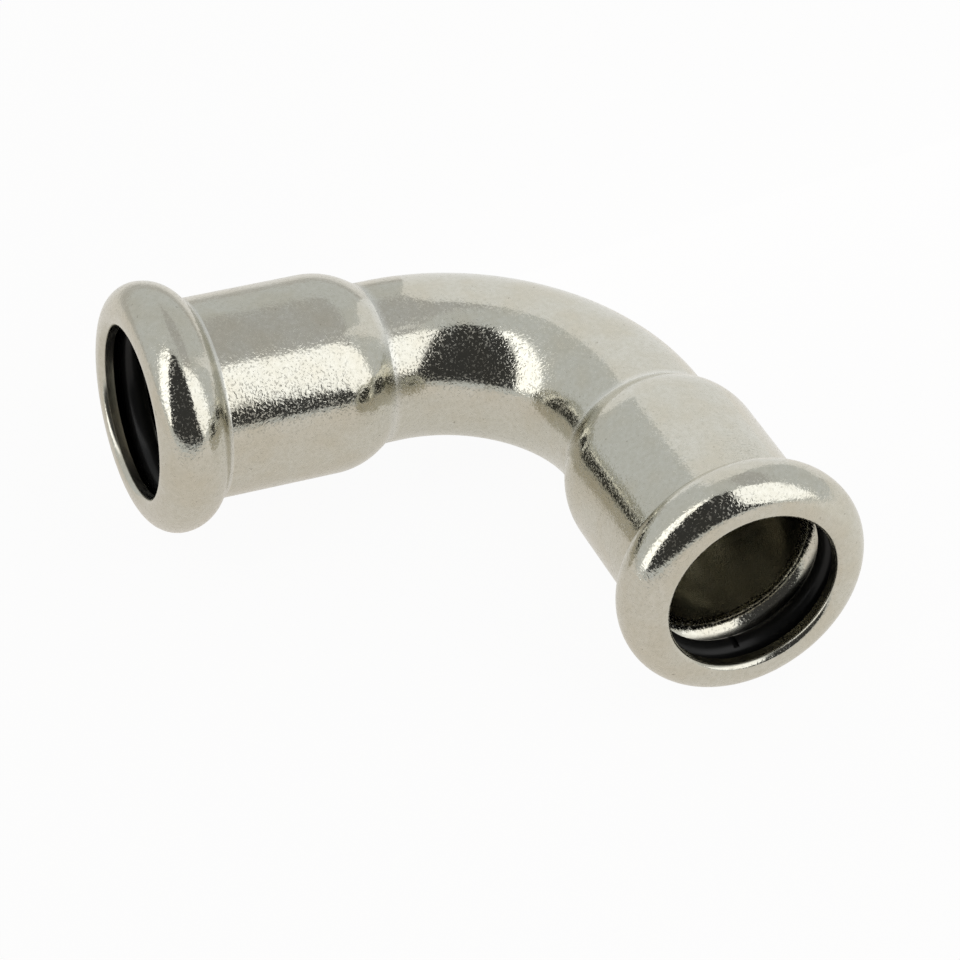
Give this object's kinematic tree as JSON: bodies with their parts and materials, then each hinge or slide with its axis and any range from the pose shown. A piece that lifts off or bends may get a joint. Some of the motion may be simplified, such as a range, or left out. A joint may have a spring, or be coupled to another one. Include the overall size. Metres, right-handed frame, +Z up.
{
  "type": "press-fit pipe elbow",
  "caption": "Right-angle press-fit pipe elbow: bent metal tube with a widened socket at each end, a rolled bead at each mouth and a rubber seal ring inside each bead.",
  "frame": {"origin": "on the table under the middle of the bounding box, with the elbow resting on both beads and the underside of the bend", "axes": "+Z up from the table; the left socket opens towards -X and the front socket towards -Y, both mouths raised a little by their beads"},
  "size_m": [0.055, 0.055, 0.0229],
  "materials": {
    "body_metal": "bright tumbled nickel-coloured plating with a fine pebbled grain",
    "seal_rubber": "smooth semi-gloss black"
  },
  "bodies": {
    "root": {"elbow_body": "body_metal", "seal_ring_left": "seal_rubber", "seal_ring_front": "seal_rubber"}
  },
  "joints": []
}
